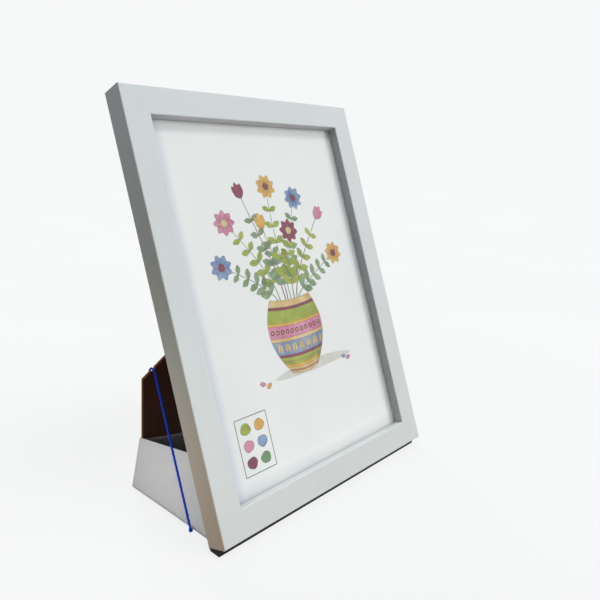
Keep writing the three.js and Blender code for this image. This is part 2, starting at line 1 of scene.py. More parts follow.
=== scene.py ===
import bpy
import math
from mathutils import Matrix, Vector


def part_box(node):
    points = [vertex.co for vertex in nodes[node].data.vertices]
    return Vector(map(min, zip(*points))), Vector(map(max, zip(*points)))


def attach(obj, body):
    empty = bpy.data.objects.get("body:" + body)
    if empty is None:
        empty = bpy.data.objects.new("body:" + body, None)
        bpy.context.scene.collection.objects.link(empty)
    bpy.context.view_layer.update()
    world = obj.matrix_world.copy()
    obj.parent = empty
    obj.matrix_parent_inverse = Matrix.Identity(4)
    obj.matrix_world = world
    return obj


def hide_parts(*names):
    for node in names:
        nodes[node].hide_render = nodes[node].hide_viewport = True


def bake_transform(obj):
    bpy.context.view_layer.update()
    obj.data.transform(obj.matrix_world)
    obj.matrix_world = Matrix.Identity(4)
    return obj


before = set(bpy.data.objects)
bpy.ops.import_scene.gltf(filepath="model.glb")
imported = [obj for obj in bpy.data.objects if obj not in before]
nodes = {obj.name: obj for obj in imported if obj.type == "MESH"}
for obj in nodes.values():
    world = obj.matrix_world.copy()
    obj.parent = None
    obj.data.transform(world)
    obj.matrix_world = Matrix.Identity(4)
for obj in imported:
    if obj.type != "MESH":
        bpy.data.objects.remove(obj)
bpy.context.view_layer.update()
print("stage: frame loaded,", len(nodes), "nodes")

# Places taken from the CAD model, in metres
lean = math.radians(18)
legTilt = math.radians(10.5)
half = 0.121  # half the frame's width
frameHigh = 0.329
frameDeep = 0.019
legThick = 0.0024
backEdge = (-0.048422, 0.0028)  # y and z of the frame's back bottom edge
pin = (0.025269, 0.210178)  # y and z of the hinge pin
hands = (("left", False), ("right", True))  # the right-hand pieces are mirrored


def fromFrame(x, e, u):  # e runs backwards from the frame's back, and u runs up along it
    return Vector((x, backEdge[0] + e * math.cos(lean) + u * math.sin(lean),
                   backEdge[1] + u * math.cos(lean) - e * math.sin(lean)))


def fromLeg(x, depth, along):  # depth runs backwards from the leg's middle, and along runs up it from the pin
    return Vector((x, pin[0] + depth * math.cos(legTilt) - along * math.sin(legTilt),
                   pin[1] + depth * math.sin(legTilt) + along * math.cos(legTilt)))


def frameY(e, z):  # y on a plane parallel to the frame's back, at a height
    return backEdge[0] + e / math.cos(lean) + (z - backEdge[1]) * math.tan(lean)


def legY(depth, z):  # y on a plane parallel to the leg, at a height
    return pin[0] + (pin[1] - z) * math.tan(legTilt) + depth / math.cos(legTilt)


# Camera, fitted to the frame's corners in the photograph
cameraLook = {"place": (-0.33667, -0.34472, 0.26440), "heading": math.radians(46.152),
              "drop": math.radians(12.831), "focalPixels": 580.4, "imageWide": 600, "sensor": 36,
              "nearest": 0.01}
cameraData = bpy.data.cameras.new("camera")
cameraData.sensor_width = cameraLook["sensor"]
cameraData.lens = cameraLook["focalPixels"] * cameraLook["sensor"] / cameraLook["imageWide"]
cameraData.clip_start = cameraLook["nearest"]
camera = bpy.data.objects.new("camera", cameraData)
bpy.context.scene.collection.objects.link(camera)
level = math.cos(cameraLook["drop"])
forward = Vector((math.sin(cameraLook["heading"]) * level, math.cos(cameraLook["heading"]) * level,
                  -math.sin(cameraLook["drop"])))
camera.location = cameraLook["place"]
camera.rotation_euler = forward.to_track_quat("-Z", "Y").to_euler()
bpy.context.scene.camera = camera
bpy.context.scene.view_settings.view_transform = "Standard"
print("stage: camera")


# Mesh helpers
def makeMesh(name, points, faces, material, smooth=True):
    mesh = bpy.data.meshes.new(name)
    mesh.from_pydata([tuple(p) for p in points], [], faces)
    mesh.validate()
    mesh.update()
    for polygon in mesh.polygons:
        polygon.use_smooth = smooth
    mesh.materials.append(material)
    piece = bpy.data.objects.new(name, mesh)
    bpy.context.scene.collection.objects.link(piece)
    return piece


def thicken(piece, thick):  # half the thickness goes to each side
    solid = piece.modifiers.new("thickness", "SOLIDIFY")
    solid.thickness = thick
    solid.offset = 0
    return solid


def gridFaces(columns, rows, base=0):  # the points run up each column in turn
    faces = []
    for c in range(columns):
        for r in range(rows):
            a = base + c * (rows + 1) + r
            faces.append((a, a + rows + 1, a + rows + 2, a + 1))
    return faces


def mirrorPoints(points):
    return [Vector((-p.x, p.y, p.z)) for p in points]


def handed(points, faces, flip):  # a mirrored piece has its faces turned round
    if not flip:
        return points, faces
    return mirrorPoints(points), [face[::-1] for face in faces]


def smoothRoute(points, perSpan):  # a smooth curve through all the points
    route = []
    for i in range(len(points) - 1):
        p0, p1 = points[max(i - 1, 0)], points[i]
        p2, p3 = points[i + 1], points[min(i + 2, len(points) - 1)]
        for k in range(perSpan):
            t = k / perSpan
            route.append(0.5 * ((2 * p1) + (p2 - p0) * t + (2 * p0 - 5 * p1 + 4 * p2 - p3) * t * t
                                + (3 * p1 - p0 - 3 * p2 + p3) * t * t * t))
    route.append(points[-1].copy())
    return route


def evenRoute(points, step):  # the same line with evenly spaced points
    lengths = [0.0]
    for a, b in zip(points, points[1:]):
        lengths.append(lengths[-1] + (b - a).length)
    count = max(2, round(lengths[-1] / step))
    route, j = [], 0
    for i in range(count + 1):
        want = lengths[-1] * i / count
        while j < len(points) - 2 and lengths[j + 1] < want:
            j += 1
        span = max(lengths[j + 1] - lengths[j], 1e-12)
        route.append(points[j].lerp(points[j + 1], (want - lengths[j]) / span))
    return route


def sweep(route, radius, sides, closed, lobes=0, lobeDepth=0.0, pitch=1.0):
    # A tube along the route, whose section may have twisted lobes like laid yarn
    points, faces = [], []
    count = len(route)
    side = None
    travelled = 0.0
    for i, at in enumerate(route):
        ahead = route[(i + 1) % count] if closed or i < count - 1 else at
        behind = route[i - 1] if closed or i > 0 else at
        along = (ahead - behind).normalized()
        if side is None:
            side = along.orthogonal().normalized()
        side = (side - along * side.dot(along)).normalized()
        up = along.cross(side)
        if i > 0:
            travelled += (at - route[i - 1]).length
        for k in range(sides):
            angle = 2 * math.pi * k / sides
            twisted = lobes * (angle - 2 * math.pi * travelled / pitch)
            reach = radius * (1 - lobeDepth * (0.5 - 0.5 * math.cos(twisted)))
            points.append(at + side * math.cos(angle) * reach + up * math.sin(angle) * reach)
    rings = count if closed else count - 1
    for i in range(rings):
        ring, after = i * sides, (i + 1) % count * sides
        for k in range(sides):
            beside = (k + 1) % sides
            faces.append((ring + k, ring + beside, after + beside, after + k))
    if not closed:
        faces.append(tuple(reversed(range(sides))))
        faces.append(tuple((count - 1) * sides + k for k in range(sides)))
    return points, faces


# Colours, and the stops between which most of a noise lies
white = (1, 1, 1, 1)
black = (0, 0, 0, 1)
softStops = (0.3, 0.7)
firmStops = (0.35, 0.65)


def linearTone(c):
    return c / 255 / 12.92 if c <= 10 else ((c / 255 + 0.055) / 1.055) ** 2.4


def srgb(r, g, b):  # a colour as a screen gives it, in linear light
    return (linearTone(r), linearTone(g), linearTone(b), 1)


# Material helpers
def startMaterial(name):
    material = bpy.data.materials.new(name)
    material.use_nodes = True
    tree = material.node_tree
    return material, tree, tree.nodes["Principled BSDF"]


def setSockets(node, values):
    for name, value in values.items():
        node.inputs[name].default_value = value


def addNode(tree, kind, values):
    node = tree.nodes.new(kind)
    setSockets(node, values)
    return node


def feed(tree, socket, value):  # from another socket, or with a plain number or colour
    if isinstance(value, bpy.types.NodeSocket):
        tree.links.new(value, socket)
    else:
        socket.default_value = value


def placedCoords(tree, tilt, size):
    # Object coordinates turned upright for a leaning piece and divided by the size of the detail
    coords = tree.nodes.new("ShaderNodeTexCoord")
    mapping = tree.nodes.new("ShaderNodeMapping")
    mapping.vector_type = "TEXTURE"
    mapping.inputs["Rotation"].default_value = (tilt, 0, 0)
    mapping.inputs["Scale"].default_value = size if isinstance(size, tuple) else (size, size, size)
    tree.links.new(coords.outputs["Object"], mapping.inputs["Vector"])
    return mapping.outputs["Vector"]


def splitAxes(tree, vector):
    split = tree.nodes.new("ShaderNodeSeparateXYZ")
    tree.links.new(vector, split.inputs["Vector"])
    return split.outputs


def addNoise(tree, tilt, size, detail=4.0, rough=0.55, distortion=0.0):
    noise = addNode(tree, "ShaderNodeTexNoise", {"Scale": 1.0, "Detail": detail, "Roughness": rough,
                                                 "Distortion": distortion})
    tree.links.new(placedCoords(tree, tilt, size), noise.inputs["Vector"])
    return noise.outputs["Fac"]


def addMath(tree, operation, *values, kind="Math"):
    node = tree.nodes.new("ShaderNode" + kind)
    node.operation = operation
    for socket, value in zip(node.inputs, values):
        feed(tree, socket, value)
    return node.outputs["Value"]


def addRange(tree, value, low, high, fromLow=0.0, fromHigh=1.0, easing="LINEAR"):
    node = addNode(tree, "ShaderNodeMapRange", {"From Min": fromLow, "From Max": fromHigh,
                                                "To Min": low, "To Max": high})
    node.interpolation_type = easing
    tree.links.new(value, node.inputs["Value"])
    return node.outputs["Result"]


def addRamp(tree, value, stops):
    ramp = tree.nodes.new("ShaderNodeValToRGB")
    while len(ramp.color_ramp.elements) < len(stops):
        ramp.color_ramp.elements.new(0.5)
    for element, (place, colour) in zip(ramp.color_ramp.elements, stops):
        element.position = place
        element.color = colour
    tree.links.new(value, ramp.inputs["Fac"])
    return ramp.outputs["Color"]


def addTones(tree, value, stops, first, second):  # a ramp of two colours
    return addRamp(tree, value, [(stops[0], first), (stops[1], second)])


def addBump(tree, height, strength, distance, after=None):
    bump = addNode(tree, "ShaderNodeBump", {"Strength": strength, "Distance": distance})
    tree.links.new(height, bump.inputs["Height"])
    if after:
        tree.links.new(after, bump.inputs["Normal"])
    return bump.outputs["Normal"]


def mixColours(tree, share, first, second, blend="MIX"):
    mix = tree.nodes.new("ShaderNodeMix")
    mix.data_type = "RGBA"
    mix.blend_type = blend
    for name, kind, value in (("Factor", "VALUE", share), ("A", "RGBA", first), ("B", "RGBA", second)):
        feed(tree, next(s for s in mix.inputs if s.name == name and s.type == kind), value)
    return next(s for s in mix.outputs if s.type == "RGBA")


def multiply(tree, first, second):
    return mixColours(tree, 1.0, first, second, "MULTIPLY")


def mixShaders(tree, share, first, second, output="Material Output"):
    mix = tree.nodes.new("ShaderNodeMixShader")
    for socket, value in zip(mix.inputs, (share, first, second)):
        tree.links.new(value, socket)
    tree.links.new(mix.outputs["Shader"], tree.nodes[output].inputs["Surface"])


def setSurface(tree, shader, colour, rough, normal=None):
    tree.links.new(colour, shader.inputs["Base Color"])
    tree.links.new(rough, shader.inputs["Roughness"])
    if normal:
        tree.links.new(normal, shader.inputs["Normal"])


def dress(node, material):  # a CAD node keeps its shape and takes a material
    mesh = nodes[node].data
    mesh.materials.clear()
    mesh.materials.append(material)


# Painted wood: an even coat over open grain that runs along each moulding, with painted light and shade by
# facing and height
paint = {"dark": srgb(222, 227, 228), "light": srgb(225, 230, 232), "grainStops": (0.32, 0.58),
         "grainLong": 0.05, "grainFine": 0.0016, "grain": 0.045, "grainDeep": 0.00025,
         "poreShare": 0.35, "pore": 0.05, "poreDeep": 0.0001, "rough": (0.42, 0.55), "gloss": 0.35,
         "coat": 0.05, "patchSize": 0.05, "patch": (0.97, 0.975, 0.965, 1),
         "tintTop": 0.32, "paintedCastLow": (0.98, 0.985, 0.965, 1), "paintedCastHigh": (0.985, 1.0, 1.015, 1),
         "paintedSideShadeLow": (0.77, 0.59, 0.46, 1), "paintedSideShadeMid": (0.72, 0.71, 0.63, 1),
         "paintedSideShadeHigh": (0.88, 0.89, 0.93, 1), "lip": (0.56, 0.545, 0.57, 1), "lipInset": 0.005,
         "paintedLedgeLight": (1.16, 1.165, 1.18, 1), "under": (0.90, 0.84, 0.85, 1)}


def paintedWood(name, grainSize):
    material, tree, shader = startMaterial(name)
    grain = addNoise(tree, -lean, grainSize, detail=5.0, rough=0.6, distortion=0.4)
    broad = addNoise(tree, -lean, paint["patchSize"], detail=2.0)
    pores = addNoise(tree, -lean, tuple(s * paint["poreShare"] for s in grainSize), detail=2.0, rough=0.5)
    coat = addTones(tree, grain, paint["grainStops"], paint["dark"], paint["light"])
    coat = multiply(tree, coat, addTones(tree, broad, softStops, paint["patch"], white))
    # Painted light: the coat is painted cooler and a little lighter towards the top, as the light falls on it
    coords = tree.nodes.new("ShaderNodeTexCoord")
    normal = splitAxes(tree, coords.outputs["Normal"])
    place = splitAxes(tree, coords.outputs["Object"])
    height = addRange(tree, place["Z"], 0.0, 1.0, 0.0, paint["tintTop"])
    coat = multiply(tree, coat, addTones(tree, height, (0.0, 1.0), paint["paintedCastLow"], paint["paintedCastHigh"]))
    # Painted shade: the lips' sides are painted darker, and the outer sides are painted in shade, with a
    # painted warm bounce of light towards the foot
    side = addRamp(tree, height, [(0.1, paint["paintedSideShadeLow"]), (0.5, paint["paintedSideShadeMid"]),
                                  (0.95, paint["paintedSideShadeHigh"])])
    outer = addMath(tree, "GREATER_THAN", addMath(tree, "ABSOLUTE", place["X"]), half - paint["lipInset"])
    side = multiply(tree, coat, mixColours(tree, outer, paint["lip"], side))
    # Painted light and shade: ledges that face up are painted paler, and what faces down is painted darker
    facing = addRange(tree, normal["Z"], 0.0, 1.0, -1.0, 1.0)
    paintedLedgeLight = addRamp(tree, facing, [(0.05, paint["under"]), (0.12, white), (0.87, white),
                                   (0.95, paint["paintedLedgeLight"])])
    # Faces turned sideways take the painted side shade instead
    sideways = addTones(tree, addMath(tree, "ABSOLUTE", normal["X"]), (0.5, 0.9), black, white)
    colour = mixColours(tree, sideways, multiply(tree, coat, paintedLedgeLight), side)
    brushed = addBump(tree, grain, paint["grain"], paint["grainDeep"])
    setSurface(tree, shader, colour, addRange(tree, pores, *paint["rough"]),
               addBump(tree, pores, paint["pore"], paint["poreDeep"], brushed))
    setSockets(shader, {"Specular IOR Level": paint["gloss"], "Coat Weight": paint["coat"]})
    return material


railPaint = paintedWood("railPaint", (paint["grainLong"], paint["grainFine"], paint["grainFine"]))
stilePaint = paintedWood("stilePaint", (paint["grainFine"], paint["grainFine"], paint["grainLong"]))
for node in ("bottom_rail", "top_rail"):
    dress(node, railPaint)
for node in ("left_stile", "right_stile"):
    dress(node, stilePaint)

# Paint bridges the hairline joint of each mitre on the front face
mitre = {"from": 0.0006, "to": 0.0204, "half": 0.00018, "proud": 0.00002, "sunk": 0.0002}
boxFaces = ((0, 4, 6, 2), (1, 3, 7, 5), (0, 1, 5, 4), (2, 6, 7, 3), (0, 2, 3, 1), (4, 5, 7, 6))
beadPoints, beadFaces = [], []
for hand, top in ((-1, False), (1, False), (-1, True), (1, True)):
    base = len(beadPoints)
    for inward in (mitre["from"], mitre["to"]):
        for aside in (-mitre["half"], mitre["half"]):
            up = frameHigh - (inward + aside) if top else inward + aside
            for e in (-frameDeep - mitre["proud"], -frameDeep + mitre["sunk"]):
                beadPoints.append(fromFrame(hand * (half - inward + aside), e, up))
    for face in boxFaces:
        face = tuple(base + k for k in face)
        beadFaces.append(face if (hand > 0) == top else face[::-1])
mitrePaint = makeMesh("mitrePaint", beadPoints, beadFaces, stilePaint, smooth=False)
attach(mitrePaint, "frame")
print("stage: painted mouldings")

# Metals: plated steel and satin brass with fine brushing and a little tarnish
metal = {"steel": (srgb(188, 190, 193), srgb(208, 210, 213)),
         "brass": (srgb(204, 172, 102), srgb(226, 196, 126)), "cloudSize": 0.006, "rough": (0.25, 0.42),
         "brushSize": (0.004, 0.0002, 0.0002), "brush": 0.12, "brushDeep": 0.00003}


def platedMetal(name, tones):
    material, tree, shader = startMaterial(name)
    cloud = addNoise(tree, 0, metal["cloudSize"], detail=5.0)
    scratch = addNoise(tree, 0, metal["brushSize"], detail=3.0)
    setSurface(tree, shader, addTones(tree, cloud, firmStops, *tones),
               addRange(tree, scratch, *metal["rough"]),
               addBump(tree, scratch, metal["brush"], metal["brushDeep"]))
    setSockets(shader, {"Metallic": 1.0})
    return material


steel = platedMetal("platedSteel", metal["steel"])
brass = platedMetal("satinBrass", metal["brass"])
for node in nodes:
    if node.startswith(("corner_nail", "hinge_", "bracket_rivet", "leaf_rivet", "button_screw")):
        dress(node, steel)
    elif node.startswith(("turn_button", "gusset_stud", "gusset_rivet")):
        dress(node, brass)
print("stage: metal fittings")

# Pressed boards: the leg, the back panel and the filler
board = {"fibreSize": 0.0011, "fibreDeep": 0.00012, "cloudSize": 0.03, "shade": (0.86, 0.86, 0.86, 1),
         "cutStops": (0.55, 0.85), "gloss": 0.1}
legBoard = {"tones": (srgb(62, 32, 20), srgb(78, 44, 29)), "core": (srgb(92, 56, 32), srgb(124, 80, 48)),
            "fleck": 0.25, "rough": (0.5, 0.72)}
panelBoard = {"tones": (srgb(96, 64, 42), srgb(124, 88, 60)), "fleck": 0.3, "rough": (0.55, 0.75)}
fillerBoard = {"tones": (srgb(176, 150, 112), srgb(196, 172, 136)), "fleck": 0.2, "rough": (0.8, 0.92)}


def pressedBoard(name, tilt, look):
    material, tree, shader = startMaterial(name)
    fibre = addNoise(tree, tilt, board["fibreSize"], detail=6.0, rough=0.7)
    cloud = addNoise(tree, tilt, board["cloudSize"], detail=3.0)
    colour = addTones(tree, fibre, firmStops, *look["tones"])
    colour = multiply(tree, colour, addTones(tree, cloud, softStops, board["shade"], white))
    if "core" in look:
        # Cut edges face away from the board's own normal and show the lighter core
        coords = tree.nodes.new("ShaderNodeTexCoord")
        across = (0, math.cos(tilt), math.sin(tilt))
        facing = addMath(tree, "DOT_PRODUCT", coords.outputs["Normal"], across, kind="VectorMath")
        cut = addTones(tree, addMath(tree, "ABSOLUTE", facing), board["cutStops"], white, black)
        colour = mixColours(tree, cut, colour, addTones(tree, fibre, firmStops, *look["core"]))
    setSurface(tree, shader, colour, addRange(tree, fibre, *look["rough"]),
               addBump(tree, fibre, look["fleck"], board["fibreDeep"]))
    setSockets(shader, {"Specular IOR Level": board["gloss"]})
    return material


dress("easel_leg", pressedBoard("legHardboard", legTilt, legBoard))
dress("back_panel", pressedBoard("panelHardboard", -lean, panelBoard))
dress("filler_board", pressedBoard("fillerCard", -lean, fillerBoard))
print("stage: boards")

# Foot strip: matt black rubber with a fine moulded texture; its black also stands in for the painted shadow
# under the frame's foot
footLook = {"tones": (srgb(36, 36, 34), srgb(52, 51, 49)), "scuffSize": (0.02, 0.006, 0.006),
            "speckSize": 0.0009, "speck": 0.3, "speckDeep": 0.0001, "rough": (0.7, 0.9), "gloss": 0.2}
footRubberAndShadow, tree, shader = startMaterial("footRubberAndShadow")
speck = addNoise(tree, 0, footLook["speckSize"])
scuff = addNoise(tree, 0, footLook["scuffSize"])
setSurface(tree, shader, addTones(tree, scuff, softStops, *footLook["tones"]),
           addRange(tree, speck, *footLook["rough"]),
           addBump(tree, speck, footLook["speck"], footLook["speckDeep"]))
setSockets(shader, {"Specular IOR Level": footLook["gloss"]})
dress("foot_strip", footRubberAndShadow)

# Glazing: clear sheet with a faint green body; light reaches the print through it
glass = {"tones": ((0.965, 0.99, 0.985, 1), (0.985, 0.998, 0.992, 1)), "streakSize": (0.08, 0.08, 0.15),
         "rough": (0.0, 0.03), "bend": 1.45, "clear": (0.99, 0.998, 0.995, 1)}
clearGlazing, tree, shader = startMaterial("clearGlazing")
streak = addNoise(tree, -lean, glass["streakSize"], detail=2.0)
setSurface(tree, shader, addTones(tree, streak, softStops, *glass["tones"]),
           addRange(tree, streak, *glass["rough"]))
setSockets(shader, {"Transmission Weight": 1.0, "IOR": glass["bend"]})
rays = tree.nodes.new("ShaderNodeLightPath").outputs
through = addMath(tree, "MAXIMUM", rays["Is Shadow Ray"], rays["Is Diffuse Ray"])
clear = addNode(tree, "ShaderNodeBsdfTransparent", {"Color": glass["clear"]})
mixShaders(tree, through, shader.outputs["BSDF"], clear.outputs["BSDF"])
dress("glazing", clearGlazing)
print("stage: foot strip and glazing")

# Stay cords and their knots: laid yarn in the route that the CAD cords follow
cordLook = {"radius": 0.001, "sides": 15, "step": 0.0006, "lobes": 3, "lobeDepth": 0.24, "pitch": 0.012,
            "spanSteps": 12, "pathStep": 4, "tones": (srgb(0, 48, 180), srgb(4, 68, 214)),
            "fluffSize": 0.0004, "fluff": 0.35, "fluffDeep": 0.0001, "rough": (0.6, 0.8), "gloss": 0.2,
            "sheen": 0.04,
            "blendFrom": Vector((0, -0.0191, 0.0073)), "blendTo": Vector((0, 0.0487, 0.1182))}
cordPoints = [
    (-0.10129, 0.04972, 0.1034), (-0.10131, 0.04902, 0.1053), (-0.10136, 0.04795, 0.10697),
    (-0.1014, 0.04654, 0.10789), (-0.10144, 0.04497, 0.1082), (-0.10152, 0.04288, 0.10764),
    (-0.1016, 0.04142, 0.10624), (-0.10215, 0.03925, 0.10268), (-0.1045, 0.02991, 0.08744),
    (-0.10686, 0.02058, 0.07219), (-0.10921, 0.01125, 0.05694), (-0.11157, 0.00191, 0.0417),
    (-0.11392, -0.00742, 0.02645), (-0.11612, -0.01613, 0.01222), (-0.1173, -0.0208, 0.0046)]
cordRoute = smoothRoute([Vector(p) for p in cordPoints], cordLook["spanSteps"])
cordRoute = evenRoute(cordRoute, cordLook["step"])

cordYarn, tree, shader = startMaterial("cordYarn")
fluff = addNoise(tree, 0, cordLook["fluffSize"])
setSurface(tree, shader, addTones(tree, fluff, firmStops, *cordLook["tones"]),
           addRange(tree, fluff, *cordLook["rough"]),
           addBump(tree, fluff, cordLook["fluff"], cordLook["fluffDeep"]))
setSockets(shader, {"Specular IOR Level": cordLook["gloss"], "Sheen Weight": cordLook["sheen"]})

knotLook = {"reach": 0.0005, "lobe": 0.00024, "rise": 0.0007, "yarn": 0.00088, "sides": 12, "steps": 90,
            "leadSteps": 8}


def knotPiece(name, centre, cordTip):
    # An overhand knot: a trefoil with its axis along the cord, and the cord's last stretch that runs into it
    axis = (centre - cordTip).normalized()
    across = axis.orthogonal().normalized()
    other = axis.cross(across)
    loop = []
    for i in range(knotLook["steps"]):
        t = 2 * math.pi * i / knotLook["steps"]
        reach = knotLook["reach"] + knotLook["lobe"] * math.cos(3 * t)
        rise = axis * knotLook["rise"] * math.sin(3 * t)
        loop.append(centre + across * reach * math.cos(2 * t) + other * reach * math.sin(2 * t) + rise)
    points, faces = sweep(loop, knotLook["yarn"], knotLook["sides"], True)
    lead = [cordTip.lerp(centre, k / knotLook["leadSteps"]) for k in range(knotLook["leadSteps"] + 1)]
    leadPoints, leadFaces = sweep(lead, knotLook["yarn"], knotLook["sides"], False)
    faces += [tuple(k + len(points) for k in face) for face in leadFaces]
    return makeMesh(name, points + leadPoints, faces, cordYarn)


for side, flip in hands:
    route = mirrorPoints(cordRoute) if flip else [p.copy() for p in cordRoute]
    points, faces = sweep(route, cordLook["radius"], cordLook["sides"], False,
                          cordLook["lobes"], cordLook["lobeDepth"], cordLook["pitch"])
    cordPiece = makeMesh("stayCord." + side, points, faces, cordYarn)
    # The wide light of a studio leaves no shadow or tint of a thin cord on the cloth
    cordPiece.visible_shadow = False
    cordPiece.visible_diffuse = False
    knots = []
    for end, cordTip in (("upper", route[0]), ("lower", route[-1])):
        node = "cord_knot_" + end + "_" + side
        low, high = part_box(node)
        knot = knotPiece("cordKnot." + end + "." + side, (Vector(low) + Vector(high)) / 2, cordTip)
        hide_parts(node)
        knots.append(knot)
    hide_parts("stay_cord_" + side)
    for piece in knots + [cordPiece]:
        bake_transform(piece)

# Cloth for the gussets and the leg's lining
clothLook = {"yarnSize": (0.006, 0.006, 0.0012), "cloudSize": 0.03, "shade": (0.95, 0.95, 0.95, 1),
             "rough": (0.78, 0.95), "weave": 0.35, "deep": 0.0001, "gloss": 0.2, "sheen": 0.05}


def wovenCloth(name, tones, threadSize, slub):
    material, tree, shader = startMaterial(name)
    place = splitAxes(tree, placedCoords(tree, 0, threadSize))
    cross = addMath(tree, "MULTIPLY", addMath(tree, "SINE", place["Y"]), addMath(tree, "SINE", place["Z"]))
    yarn = addNoise(tree, 0, clothLook["yarnSize"])
    cloud = addNoise(tree, 0, clothLook["cloudSize"], detail=2.0)
    shade = addTones(tree, cloud, softStops, clothLook["shade"], white)
    colour = multiply(tree, addTones(tree, yarn, softStops, *tones), shade)
    woven = addBump(tree, cross, clothLook["weave"], clothLook["deep"])
    setSurface(tree, shader, colour, addRange(tree, cross, *clothLook["rough"]),
               addBump(tree, yarn, slub, clothLook["deep"], woven))
    setSockets(shader, {"Specular IOR Level": clothLook["gloss"], "Sheen Weight": clothLook["sheen"]})
    return material


gussetCloth = wovenCloth("gussetCloth", (srgb(230, 232, 233), srgb(236, 238, 239)), 0.00016, 0.15)
liningCloth = wovenCloth("liningCloth", (srgb(130, 130, 132), srgb(145, 145, 146)), 0.00018, 0.25)
threadCloth = wovenCloth("gussetThread", (srgb(228, 230, 231), srgb(236, 238, 239)), 0.00012, 0.3)

gusset = {"inset": 0.0064, "flare": 0.115, "thick": 0.0007, "hemUp": 0.0011, "frameUp": 0.0598,
          "legUp": 0.0468, "frontFlange": 0.0063, "rearFlange": 0.0215, "stileGap": 0.00075,
          "legGap": 0.00185, "bow": 0.0011, "frontSteps": 4, "webSteps": 36, "rearSteps": 8, "rows": 20,
          "hem": 0.0045, "hemLift": 0.00004, "hemTop": 0.999, "hemEdge": 0.2,
          "stitches": 34, "stitchHalf": 0.00022, "stitchRise": 0.8, "stitchFrom": 0.2, "stitchTo": 0.8,
          "hemSeam": 0.72, "hemSeamLift": 0.00006, "footSeam": 0.55, "footSeamLift": -0.00003,
          "blendFrom": Vector((0, -0.0285, 0.03)), "blendTo": Vector((0, 0.0644, 0.03))}
skin = gusset["thick"] / 2


def gussetPoint(s, v, lift=0.0):
    # s runs along the cloth: -1..0 on the stile, 0..1 across the web, 1..2 behind the leg.
    # v runs from 0 at the cloth's foot to 1 at its top edge.
    web = min(max(s, 0), 1)
    top = gusset["frameUp"] + (gusset["legUp"] - gusset["frameUp"]) * web
    z = gusset["hemUp"] + v * (top - gusset["hemUp"])
    front, rear = frameY(gusset["stileGap"], z), legY(gusset["legGap"], z)
    x = -half + gusset["inset"] + gusset["flare"] * z + skin
    if s < 0:
        return Vector((x + s * gusset["frontFlange"], front + lift, z))
    if s > 1:
        return Vector((x + (s - 1) * gusset["rearFlange"], rear + lift, z))
    # The web bows inwards most in its middle and hardly at its edges
    bow = gusset["bow"] * math.sin(math.pi * s) ** 2 * math.sin(math.pi * min(1, v * 0.9 + 0.05))
    return Vector((x + bow - lift, front + (rear - front) * web, z))


def clothGrid():
    stations = [-1 + i / gusset["frontSteps"] for i in range(gusset["frontSteps"])]
    stations += [i / gusset["webSteps"] for i in range(gusset["webSteps"] + 1)]
    stations += [1 + (i + 1) / gusset["rearSteps"] for i in range(gusset["rearSteps"])]
    rows = gusset["rows"]
    points = [gussetPoint(s, r / rows) for s in stations for r in range(rows + 1)]
    return points, gridFaces(len(stations) - 1, rows)


def hemBand(low, high, lift):
    # A narrow folded band across the web's outer face, between two heights
    points = []
    edge = lift * gusset["hemEdge"]
    for i in range(gusset["webSteps"] + 1):
        for v, out in ((low, edge), (low, lift), (high, lift), (high, edge)):
            points.append(gussetPoint(i / gusset["webSteps"], v, out))
    return points, gridFaces(gusset["webSteps"], 3)


spindleFaces = ((0, 1, 2), (0, 2, 3), (1, 4, 5, 2), (2, 5, 6, 3), (4, 7, 5), (5, 7, 6), (0, 3, 1),
                (1, 3, 6, 4), (4, 6, 7))


def stitchRows(seams):
    # Short raised stitches across the web, each one a small spindle on the outer face
    points, faces = [], []
    width, count = gusset["stitchHalf"], gusset["stitches"]
    outward = Vector((-1, 0, 0))
    for i in range(count):
        for v, lift in seams:
            a = gussetPoint((i + gusset["stitchFrom"]) / count, v, lift)
            b = gussetPoint((i + gusset["stitchTo"]) / count, v, lift)
            side = (b - a).cross(outward).normalized() * width
            rise = outward * width * gusset["stitchRise"]
            quarter = (b - a) / 4
            base = len(points)
            points += [a, a + quarter + side, a + quarter + rise, a + quarter - side,
                       b - quarter + side, b - quarter + rise, b - quarter - side, b]
            faces += [tuple(base + k for k in face) for face in spindleFaces]
    return points, faces


hemShare = gusset["hem"] / (gusset["frameUp"] - gusset["hemUp"])
seams = ((1 - hemShare * gusset["hemSeam"], skin + gusset["hemSeamLift"]),
         (hemShare * gusset["footSeam"], skin + gusset["footSeamLift"]))
for side, flip in hands:
    cloth = makeMesh("gussetCloth." + side, *handed(*clothGrid(), flip), liningCloth)
    cloth.data.materials.append(gussetCloth)
    solid = thicken(cloth, gusset["thick"])
    solid.material_offset = 1
    solid.material_offset_rim = 1
    bpy.context.view_layer.objects.active = cloth
    with bpy.context.temp_override(object=cloth, active_object=cloth, selected_objects=[cloth]):
        bpy.ops.object.modifier_apply(modifier=solid.name)
    band = hemBand(1 - hemShare, gusset["hemTop"], skin + gusset["hemLift"])
    hem = makeMesh("gussetHem.top." + side, *handed(*band, flip), gussetCloth, smooth=False)
    stitches = makeMesh("gussetStitch." + side, *handed(*stitchRows(seams), flip), threadCloth)
    for piece in (cloth, hem, stitches):
        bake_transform(piece)
    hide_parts("gusset_" + side)
    reach = (gussetPoint(1, 0) - gussetPoint(0, 0)).length

